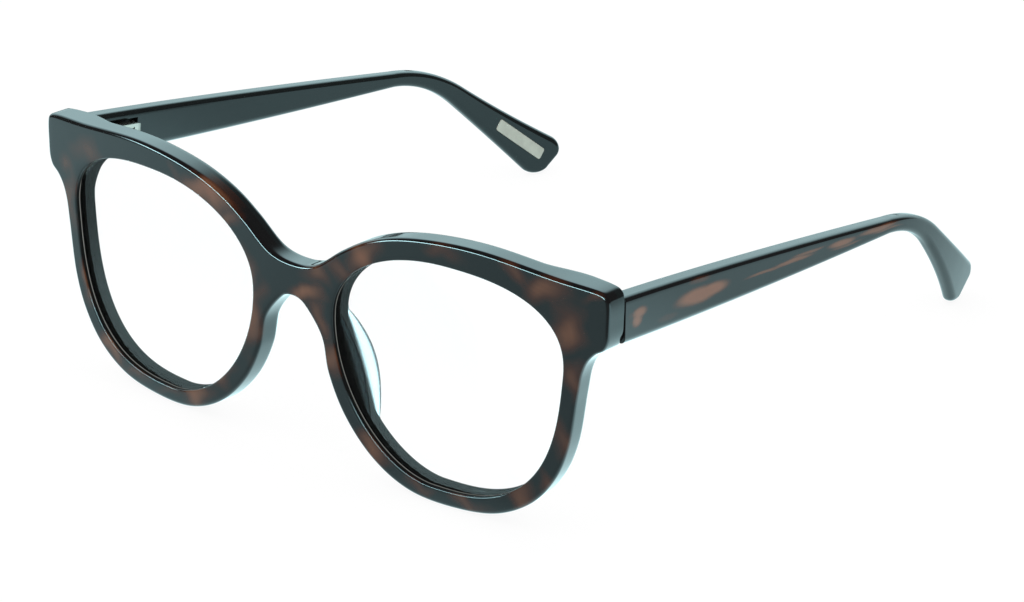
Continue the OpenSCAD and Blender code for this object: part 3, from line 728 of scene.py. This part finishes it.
def acetate(name, stretch):
    """Polished laminate: tortoiseshell patches with clouded edges over a dark ground, black beyond mid depth,
    and dull black on the walls of the lens openings, with a painted highlight: a pale line where the lens
    sits, standing for the reflection of the lens's edge."""
    c = sizes("finish")
    made, start = new_material(name)
    depth = start.attribute("depth")
    place = start.place()
    drawn = start.node("Mapping", {}, {"Vector": place, "Scale": (1.0, stretch, 1.0)})
    cloud = start.noise(drawn, CLOUD_SCALE, detail=0.6, warp=0.2)
    mottle = start.noise(drawn, MOTTLE_SCALE)
    field = start.attribute("warm") + (cloud - 0.5) * CLOUD_EFFECT + (mottle - 0.5) * MOTTLE_EFFECT
    tones = zip(SHELL_LEVELS, (c.dark, c.ember, c.brown, c.amber))
    shell = field.node("ValToRGB", {"stops": list(tones)}, {0: field})
    lined = (depth + (mottle - 0.5) * 0.02).step(*LAYER_DEPTHS)
    normal = start.bump(start.noise(place, RIPPLE_SCALE), strength=0.02, distance=2 * MM)
    polished = principled(start, Base_Color=lined.blend(shell, c.lining), Roughness=c.gloss + mottle * 0.03,
                          Specular_Tint=c.sheen_tint, IOR=PLASTIC_IOR, Normal=normal)
    # Painted highlight: a pale band at the lens's front edge on the dull wall, standing for the lens edge's
    # reflection
    line = depth.band(*SEAT_HIGHLIGHT_DEPTHS).blend(c.lining, c.seat)
    dull = principled(start, Base_Color=line, Roughness=MATT, Specular_IOR_Level=0.0)
    close_material(start, start.attribute("wall").shaders(polished, dull))
    return made


def clear_plastic(name, tone, alpha, rough):
    """Clear polished plastic, with painted shade: matt black where it is marked dark."""
    c = sizes("finish")
    made, start = new_material(name)
    haze = start.noise(start.place(), HAZE_SCALE)
    clear = principled(start, Base_Color=tone, Roughness=rough + haze * 0.01, Transmission_Weight=1.0,
                       IOR=PLASTIC_IOR, Alpha=alpha)
    # Painted shade: matt black where the mesh is marked dark
    shade = principled(start, Base_Color=c.lining, Roughness=MATT, Specular_IOR_Level=0.0)
    close_material(start, start.attribute("dark").shaders(clear, shade))
    return made


def satin_metal(name, tone, rough, grain, metallic=1.0):
    """Nickel silver with a fine drawn grain along the temple and dulling in patches."""
    made, start = new_material(name)
    place = start.place()
    drawn = start.node("Mapping", {}, {"Vector": place, "Scale": DRAWN_SCALE})
    normal = start.bump(start.noise(drawn, 1.0, detail=2.0), strength=grain, distance=0.02 * MM)
    dull = start.noise(place, DULL_SCALE, detail=2.0)
    base = dull.step(0.3, 0.8).blend(tone, darker(tone, 0.86))
    close_material(start, principled(
        start, Base_Color=base, Metallic=metallic, Roughness=rough + dull * 0.12, Normal=normal))
    return made


# Temple shapes

# Powers that the height and slant follow, rows along the temple, steps round a section's corner and down its
# tall and wide sides, and the plate's edges and seat
SLIM_POWER, PADDLE_POWER, SLANT_POWER = 1.5, 1.9, 1.5
TEMPLE_ROWS, TIP_ROWS, TEMPLE_SECTION = 190, 14, (8, 17, 5)
LEAST_FLAT = 0.05 * MM
PLATE_CORNER_R, PLATE_EASE, PLATE_SECTION = 0.5 * MM, 0.12 * MM, (8, 3, 3)
PLATE_SUNK = 0.6
PLATE_SPAN = 4 * MM


def temple_line(s):
    """The temple's middle line: straight, then an arc downwards, then straight, curving in at the tip.
    Returns the line, the turn of the bend, the share of the way from the bend to the tip, and the length."""
    t = sizes("temple")
    bend_l = t.bend_r * t.bend_angle
    whole = t.straight_l + bend_l + t.paddle_l
    turn = np.clip((s - t.straight_l) / t.bend_r, 0, t.bend_angle)
    rest = np.maximum(0, s - t.straight_l - bend_l)
    y = np.minimum(s, t.straight_l) + t.bend_r * np.sin(turn) + rest * math.cos(t.bend_angle)
    z = -t.bend_r * (1 - np.cos(turn)) - rest * math.sin(t.bend_angle)
    z = z - t.root_low * np.maximum(0, 1 - s / t.straight_l)
    reach = np.maximum(0, (s - t.straight_l) / (whole - t.straight_l))
    x = t.inner_x + t.thick / 2 - t.tip_in * reach**2
    return np.stack([x, y, z], -1), turn, reach, whole


def temple_size(s, reach, whole):
    """Half thickness and half height at a length along the temple, rounded off at its end."""
    t = sizes("temple")
    slim = mix(t.root_h, t.bend_h, np.clip(s / t.straight_l, 0, 1) ** SLIM_POWER)
    wide = mix(t.bend_h, t.tip_h, reach**PADDLE_POWER)
    height = np.where(s < t.straight_l, slim, wide)
    thick = mix(t.thick, t.tip_t, np.maximum(0, s / whole))

    def rounded(r):
        past = np.maximum(0, s - whole + r)
        return r - np.sqrt(np.maximum(0, r * r - past * past))

    return thick / 2 - rounded(t.tip_t / 3), height / 2 - sizes("front").skin - rounded(t.tip_round_r)


def rounded_section(corner, tall, wide):
    """A rounded rectangle as shares of its straight sides and a unit direction at its corners, from the steps
    of a corner, a tall side and a wide side."""
    a = np.linspace(0, math.pi / 2, corner + 1)
    across, down = np.linspace(1, -1, wide + 2)[1:-1], np.linspace(1, -1, tall + 2)[1:-1]
    ones, top, side = np.ones(corner + 1), np.ones(wide), np.ones(tall)
    fx = np.concatenate([ones, across, -ones, -side, -ones, -across, ones, side])
    fz = np.concatenate([ones, top, ones, down, -ones, -top, -ones, -down])
    quarters = [a, top * math.pi / 2, a + math.pi / 2, side * math.pi, a + math.pi, top * 1.5 * math.pi,
                a + 1.5 * math.pi, side * 2 * math.pi]
    turn = np.concatenate(quarters)
    return fx, fz, np.cos(turn), np.sin(turn)


def butt_plane(x, z):
    """The root's cut, along the front's joint face."""
    f, t = sizes("front"), sizes("temple")
    across = (t.butt_gap - f.hinge_back - x * math.sin(t.toe_in)) / math.cos(t.toe_in)
    return (across - z * math.sin(t.drop)) / math.cos(t.drop)


def temple_grid():
    """A rounded section carried along the temple's line, its root cut along the front and chamfered."""
    t = sizes("temple")
    whole = temple_line(np.zeros(1))[-1]
    end = whole - sizes("front").skin - t.tip_round_r * (1 - np.sin(np.linspace(0, math.pi / 2, TIP_ROWS)))
    s = np.concatenate([[0, 0], np.linspace(0, end[0], TEMPLE_ROWS), end[1:]])
    line, turn, reach, whole = temple_line(s)
    a, b = temple_size(s, reach, whole)
    a[0] -= t.root_chamfer
    b[0] -= t.root_chamfer
    r = np.minimum(mix(t.edge_r, t.tip_edge_r, reach), a - LEAST_FLAT)
    fx, fz, c, n = rounded_section(*TEMPLE_SECTION)
    x = (a - r)[:, None] * fx + r[:, None] * c
    z = (b - r)[:, None] * fz + r[:, None] * n
    inward = -2 * t.tip_in * reach / (whole - t.straight_l)
    along = np.stack([inward, np.cos(turn), -np.sin(turn)], -1) * (t.tip_slant * reach**SLANT_POWER)[:, None]
    up = np.stack([0 * turn, np.sin(turn), np.cos(turn)], -1) + along
    points = line[:, None] + x[..., None] * np.array([1, 0, 0]) + z[..., None] * up[:, None]
    points[0, :, 1] = butt_plane(points[0, :, 0], points[0, :, 2])
    points[1, :, 1] = butt_plane(points[1, :, 0], points[1, :, 2]) + t.root_chamfer
    rows, cols = x.shape
    return points, grid_quads(rows, cols)


def along_temple(points):
    """Unbends a temple's points: length along its line, height from it, and depth from the outer face."""
    t = sizes("temple")
    x, y, z = points.T
    dy, dz = y - t.straight_l, z + t.bend_r
    bent = np.clip(np.arctan2(dy, dz), 0, t.bend_angle)
    past = np.maximum(0, dy * math.cos(t.bend_angle) - dz * math.sin(t.bend_angle))
    s = np.where(y < t.straight_l, y, t.straight_l + t.bend_r * bent + past)
    up = np.where(y < t.straight_l, z, dy * np.sin(bent) + dz * np.cos(bent) - t.bend_r)
    up = up + t.root_low * np.maximum(0, 1 - s / t.straight_l)
    line, _, _, whole = temple_line(s)
    thick = mix(t.thick, t.tip_t, np.clip(s / whole, 0, 1))
    return s, up, (line[:, 0] + thick / 2 - x) / thick


def plate_place():
    """The bare plate's place on the paddle: the turn and middle of its flat, in the temple's frame."""
    t = sizes("temple")
    whole = temple_line(np.zeros(1))[-1]
    s = whole - t.plate_l / 2 - t.tip_corner_r
    line = temple_line(np.array([s - PLATE_SPAN, s, s + PLATE_SPAN]))[0]
    lean = math.atan2(line[2, 0] - line[0, 0], 2 * PLATE_SPAN)
    turn = turn_x(-t.bend_angle) @ turn_z(-lean)
    thick = mix(t.thick, t.tip_t, s / whole)
    return turn, line[1] + turn @ np.array([-thick / 2, 0, 0])


def plate_grid(gap, edge):
    """A rounded rectangle carried through the plate's thickness, its outer edge eased."""
    t = sizes("temple")
    fx, fz, c, n = rounded_section(*PLATE_SECTION)
    r, proud = PLATE_CORNER_R, (PLATE_SUNK - 1) * t.plate_t
    q = np.linspace(0, math.pi / 2, 6)
    inset = np.concatenate([[0], edge * (1 - np.cos(q)), [edge + r / 2]])
    depth = np.concatenate([[PLATE_SUNK * t.plate_t + gap], proud + edge * (1 - np.sin(q)), [proud]])
    w = (t.plate_w / 2 - r) * fz + (r + gap - inset[:, None]) * n
    l = (t.plate_l / 2 - r) * fx + (r + gap - inset[:, None]) * c
    turn, middle = plate_place()
    points = np.stack([depth[:, None] + 0 * l, l, w], -1) @ turn.T + middle
    return points, grid_quads(*l.shape)


def arm_box(name, low, high, side):
    """A cutter in a temple's frame, between two corners in millimetres."""
    return make_piece(name, from_arm(box_points(np.array(low) * MM, np.array(high) * MM), side), BOX_FACES)


# Operators, one for each piece or group of like pieces

# Cutters are in millimetres, pad angles in degrees, and the camera's place in the front's frame
CLEAR = 0.05
SEAT_IN, SEAT_DEEP = 3.65, 1.25
POCKET_START, POCKET_DEEP, POCKET_MARGIN = -5.1, 2.2, 0.65
HOUSING_MARGIN = 0.5
WALL_START, WALL_END, WALL_FADE = 0.03, 0.95, 0.04
WALL_LEVEL, WALL_LEVEL_FADE = 0.045, 0.02
EDGE_DEPTH, EDGE_FADE, EDGE_LOSS = 0.2 * MM, 1.2 * MM, 0.7
LENS_STEP, LENS_LOOPS = 0.8 * MM, 15
PAD_ENDS, PAD_ROWS, PAD_COLUMNS = (182.0, 230.0), 49, 25
PAD_LEAST, PAD_POWER, PAD_SEAT, PAD_GAP = 0.12, 0.75, 0.45, 0.05 * MM
# Painted shade on the clear pads: the angle and width of a dark line, and the dark foot where a pad meets the
# rim
PAD_SHADE_LINE, PAD_SHADE_LINE_W, PAD_SHADE_FOOT, PAD_SHADE_FOOT_FADE = 65, 11, 14, 12
IMAGE_W = 1024
CAMERA_SHIFT = -20, -77
CAMERA_PLACE = np.array([431.848, -443.318, 250.074]) * MM
SENSOR_W = 36
VIEW_RANGE = 0.01, 100
FLOOR_DROP = 0.02 * MM


class GLASSES_OT_front(bpy.types.Operator):
    """Makes the bowed front with its rims, bridge and end pieces"""

    bl_idname = "glasses.front"
    bl_label = "Front"

    def execute(self, context):
        f, t = sizes("front"), sizes("temple")
        half, quads = front_grid()
        both = np.concatenate([half.reshape(-1, 3), half.reshape(-1, 3) * [-1, 1, 1]])
        faces = np.concatenate([quads, quads[:, ::-1] + len(both) // 2])
        piece = make_piece("acetate_front", from_front(both), faces)
        reach, back, tall = t.knuckle_r / MM + CLEAR, f.hinge_back / MM, t.hinge_half / MM + CLEAR
        low, high = (-SEAT_IN, -back - SEAT_DEEP, -tall), (reach, -back / 2, tall)
        cut_away(piece, [arm_box("seat", low, high, side) for side in SIDES.values()])
        points = to_front(mesh_points(piece))
        depth = points[:, 1] - sag(points[:, 0])
        flat = np.stack([np.abs(points[:, 0]) / (1 - depth / f.bow_r), points[:, 2]], -1)
        share = depth / back_depth(flat)
        within = ease((share - WALL_START) / WALL_FADE) * (1 - ease((share - WALL_END) / WALL_FADE))
        inside = 1 - ease((lens_level(flat) - WALL_LEVEL) / WALL_LEVEL_FADE)
        warm = patch_field(FRONT_PATCHES, points[:, 0], points[:, 2], waver=0.9, crisp=1)
        put_attribute(piece, "depth", share)
        put_attribute(piece, "wall", within * inside)
        put_attribute(piece, "warm", warm * (1 - EDGE_LOSS * ease((depth - EDGE_DEPTH) / EDGE_FADE)))
        dress(piece, acetate("front_acetate", stretch=1.0), "front", "front")
        return {"FINISHED"}


class GLASSES_OT_lenses(bpy.types.Operator):
    """Makes the two domed lenses with their bevels in the groove"""

    bl_idname = "glasses.lenses"
    bl_label = "Lenses"

    def execute(self, context):
        """Loops from the middle out over the front dome, round the bevel, and back over the rear dome."""
        f = sizes("front")
        t = front_rows(LENS_STEP)[0]
        middle = np.array([lens_middle(), 0])
        edge, normal = lens_edge(t), lens_normal(t)
        half = f.groove_w / 2 - f.lens_fit
        k = np.linspace(0, 1, LENS_LOOPS)
        share = np.concatenate([k, [1], k[::-1]])[:, None]
        dome = np.concatenate([0 * k + f.lens_dome, [0], 0 * k + f.lens_dome - f.lens_add])[:, None]
        level = np.concatenate([0 * k - half, [0], 0 * k + half])[:, None]
        q = mix(middle, edge - normal * f.lens_fit, share[..., None])
        q[len(k)] = edge + normal * (f.groove_d - f.lens_fit)
        points = bowed(q, f.groove_y + level - dome * (1 - share**2))
        clear = clear_plastic("lens_plastic", sizes("finish").clear, alpha=0.03, rough=0.0)
        for name, side in SIDES.items():
            piece = make_piece("lens_clear_" + name, from_front(points, side), grid_quads(*points.shape[:2]))
            dress(piece, clear, "front", "lens_" + name)
        return {"FINISHED"}


class GLASSES_OT_pads(bpy.types.Operator):
    """Makes the two clear nose pads on the nasal rims"""

    bl_idname = "glasses.pads"
    bl_label = "Nose pads"

    def execute(self, context):
        """Half ovals that lean towards the lens, swelling from each end of the pad to its middle."""
        f = sizes("front")
        u = np.linspace(0, 1, PAD_ROWS)
        t = np.radians(mix(*PAD_ENDS, u))
        rise = (np.maximum(PAD_LEAST, np.sin(math.pi * u)) ** PAD_POWER)[:, None]
        n = lens_normal(t)[:, None]
        foot = lens_edge(t)[:, None] + n * (rim_width(t) * PAD_SEAT)[:, None, None]
        a = np.linspace(0, math.pi, PAD_COLUMNS)[None, :]
        reach = f.pad_w / 2 * rise * np.cos(a) + f.pad_lean * f.pad_h * rise * np.sin(a)
        q = foot - n * reach[..., None]
        points = bowed(q, back_depth(q) + PAD_GAP + f.pad_h * rise * np.sin(a))
        clear = clear_plastic("pad_acetate", sizes("finish").pad, alpha=0.6, rough=0.1)
        # Painted shade: a dark line along the pad's side and a dark foot where it meets the rim, standing for
        # the dark edges of the clear pad
        side_on = np.degrees(a) + 0 * rise
        line = np.exp(-(((side_on - PAD_SHADE_LINE) / PAD_SHADE_LINE_W) ** 2))
        dark = np.maximum(line, 1 - ease((side_on - PAD_SHADE_FOOT) / PAD_SHADE_FOOT_FADE))
        for name, side in SIDES.items():
            piece = make_piece("pad_clear_" + name, from_front(points, side),
                               grid_quads(*points.shape[:2]), cap=True)
            put_attribute(piece, "dark", dark.reshape(-1))
            dress(piece, clear, "front", "nose_pad_" + name)
        return {"FINISHED"}


class GLASSES_OT_temples(bpy.types.Operator):
    """Makes the two temples with their hinge pockets and the plate's seat"""

    bl_idname = "glasses.temples"
    bl_label = "Temples"

    def execute(self, context):
        t = sizes("temple")
        points, quads = temple_grid()
        finish = acetate("temple_acetate", stretch=0.12)
        tall, wide, high = t.hinge_half / MM + POCKET_MARGIN, t.housing_w / MM, t.housing_h / MM / 2
        start, end = t.housing_y0 / MM + CLEAR, (t.housing_y0 + t.housing_l) / MM + CLEAR
        for name, side in SIDES.items():
            piece = make_piece("temple_acetate_" + name, from_arm(points, side), quads, cap=True)
            cutters = [
                arm_box("knuckle_pocket", (-wide, POCKET_START, -tall), (POCKET_DEEP, start, tall), side),
                arm_box("housing_pocket", (-wide, 0, -high - CLEAR),
                        (wide / 2 + CLEAR, end, high + HOUSING_MARGIN), side),
            ]
            if side < 0:
                seat, seat_quads = plate_grid(gap=CLEAR * MM, edge=0)
                cutters.append(make_piece("plate_seat", from_arm(seat, side), seat_quads, cap=True))
            cut_away(piece, cutters)
            s, up, depth = along_temple(to_arm(mesh_points(piece), side))
            put_attribute(piece, "depth", depth)
            put_attribute(piece, "warm", patch_field(TEMPLE_PATCHES, s, up, waver=0.06, crisp=2))
            dress(piece, finish, "temple_" + name, "temple_" + name)
        return {"FINISHED"}


class GLASSES_OT_tip_plate(bpy.types.Operator):
    """Makes the bare plate let into one tip"""

    bl_idname = "glasses.tip_plate"
    bl_label = "Tip plate"

    def execute(self, context):
        points, quads = plate_grid(gap=0, edge=PLATE_EASE)
        piece = make_piece("tip_plate_satin", from_arm(points, SIDES["right"]), quads, cap=True)
        tone = tuple(sizes("finish").plate)
        satin = satin_metal("plate_satin", tone, rough=0.32, grain=0.1, metallic=0.2)
        dress(piece, satin, "temple_right", "tip_plate")
        return {"FINISHED"}


class GLASSES_OT_fittings(bpy.types.Operator):
    """Finishes the hinge metal: knuckles, screws, sliders, housings and springs"""

    bl_idname = "glasses.fittings"
    bl_label = "Hinge fittings"

    def execute(self, context):
        tone = tuple(sizes("finish").metal)
        metals = {
            "hinge": satin_metal("hinge_metal", tone, rough=0.24, grain=0.25),
            "housing": satin_metal("housing_metal", tone, rough=0.2, grain=0.2),
            "screw": satin_metal("screw_metal", tone, rough=0.14, grain=0.1),
            "spring": satin_metal("spring_metal", darker(tone, 0.85), rough=0.2, grain=0.1),
        }
        kinds = {"front_hinge": "hinge", "flex_slider": "hinge", "flex_stop": "hinge", "core_wire": "hinge",
                 "hinge_screw": "screw", "flex_housing": "housing", "flex_spring": "spring"}
        for node, kind in kinds.items():
            for name in SIDES:
                mesh = frame["nodes"][node + "_" + name].data
                mesh.materials.clear()
                mesh.materials.append(metals[kind])
        return {"FINISHED"}


class GLASSES_OT_stage(bpy.types.Operator):
    """Makes the white floor, the soft studio light and the camera"""

    bl_idname = "glasses.stage"
    bl_label = "Stage"

    def execute(self, context):
        self.make_floor()
        self.make_light()
        self.make_camera()
        context.scene.view_settings.view_transform = "Standard"
        return {"FINISHED"}

    def make_floor(self):
        """A flat square under the glasses: white in view, with a soft shadow."""
        g = sizes("stage")
        line = np.array([-1, 1]) * g.floor_size / 2
        x, y = np.meshgrid(line, line)
        mesh = bpy.data.meshes.new("floor")
        mesh.from_pydata(np.stack([x, y, 0 * x - FLOOR_DROP], -1).reshape(-1, 3), [], [(0, 1, 3, 2)])
        floor = put_object("floor", mesh)
        made, start = new_material("floor_white")
        seen, gloss = ray_kinds(start)
        across, along, _ = start.place().split()
        near = g.near + across.step(-200 * MM, 20 * MM, g.near_right, 0.0)
        under, behind = along.step(-80 * MM, -50 * MM), along.step(-20 * MM, 45 * MM)
        beside = across.step(100 * MM, 160 * MM) * along.step(30 * MM, 80 * MM, 1.0, 0.0)
        corner = across.step(90 * MM, 150 * MM) * along.step(-110 * MM, -60 * MM, 1.0, 0.0)
        inner = across.maths("ABSOLUTE", across).step(250 * MM, 400 * MM, 1.0, 0.0)
        level = near + under * (g.far - near) - behind * (g.far - g.rear) + beside * g.beside
        level = g.rest + level * (1 - g.corner * corner) * inner
        plain = start.node("BsdfDiffuse", {}, {"Color": (0.9, 0.9, 0.9, 1)})
        white = start.node("Emission", {}, {"Color": (1, 1, 1, 1), "Strength": 1.04})
        mirrored = start.node("Emission", {}, {"Color": level.tinted(g.tint)})
        close_material(start, gloss.shaders((seen * 0.88).shaders(plain, white), mirrored))
        mesh.materials.append(made)

    def make_light(self):
        """Plain light, white in view; the gloss sees a dark room with a backdrop and a strip light."""
        g = sizes("stage")
        world = bpy.data.worlds.new("studio")
        bpy.context.scene.world = world
        start = new_nodes(world)
        seen, gloss = ray_kinds(start)
        x, y, z = start.node("TexCoord", out=0).split()
        back = (y - x).step(0.66, 1.06) * (1 - z.step(0.5, 0.75)) * z.step(0.1, 0.36, 0.6, 1.0)
        strip = x.band(-0.85, -0.75, 0.2, 0.4) * (1 - y.step(-0.2, 0.0)) * z.band(0.16, 0.19, 0.32, 0.38)
        studio = (g.room + back * g.backdrop + strip * g.strip).tinted(g.tint)
        plain = seen.blend((g.light, g.light, g.light, 1), (1, 1, 1, 1))
        sky = start.node("Background", {}, {"Color": gloss.blend(plain, studio)})
        start.node("OutputWorld", {}, {"Surface": sky})

    def make_camera(self):
        """The camera at the photograph's angle, kept in the front's frame."""
        g = sizes("stage")
        data = bpy.data.cameras.new("camera")
        data.lens, data.sensor_width = g.lens, SENSOR_W
        data.shift_x, data.shift_y = (shift / IMAGE_W for shift in CAMERA_SHIFT)
        data.clip_start, data.clip_end = VIEW_RANGE
        camera = put_object("camera", data)
        own = turn_z(g.camera_round) @ turn_x(math.pi / 2 - g.camera_rise) @ turn_z(g.camera_roll)
        camera.location = from_front(CAMERA_PLACE)
        camera.rotation_euler = Matrix(stand_place()[0] @ own).to_euler()
        bpy.context.scene.camera = camera


class GLASSES_PT_panel(bpy.types.Panel):
    """Lists the pieces and their sizes"""

    bl_idname = "GLASSES_PT_panel"
    bl_label = "Reading Glasses"
    bl_space_type = "VIEW_3D"
    bl_region_type = "UI"
    bl_category = "Glasses"

    def draw(self, context):
        for operator in OPERATORS:
            self.layout.operator(operator.bl_idname)
        for group in GROUPS:
            box = self.layout.box()
            box.label(text=group.capitalize())
            values = sizes(group)
            for key in values.__annotations__:
                box.prop(values, key)


GROUPS = {"front": GLASSES_PG_front, "temple": GLASSES_PG_temple, "finish": GLASSES_PG_finish,
          "stage": GLASSES_PG_stage}
OPERATORS = (GLASSES_OT_stage, GLASSES_OT_front, GLASSES_OT_lenses, GLASSES_OT_pads, GLASSES_OT_temples,
             GLASSES_OT_tip_plate, GLASSES_OT_fittings)
CLASSES = (*GROUPS.values(), *OPERATORS, GLASSES_PT_panel)


def register():
    """Adds the classes and the sizes to the scene."""
    for made in CLASSES:
        bpy.utils.register_class(made)
    for name, group in GROUPS.items():
        setattr(bpy.types.Scene, "glasses_" + name, PointerProperty(type=group))


def unregister():
    """Takes the classes and the sizes away."""
    for name in GROUPS:
        delattr(bpy.types.Scene, "glasses_" + name)
    for made in reversed(CLASSES):
        bpy.utils.unregister_class(made)


def main():
    """Makes every piece in order."""
    register()
    for operator in OPERATORS:
        group, name = operator.bl_idname.split(".")
        getattr(getattr(bpy.ops, group), name)()


if __name__ == "__main__":
    main()
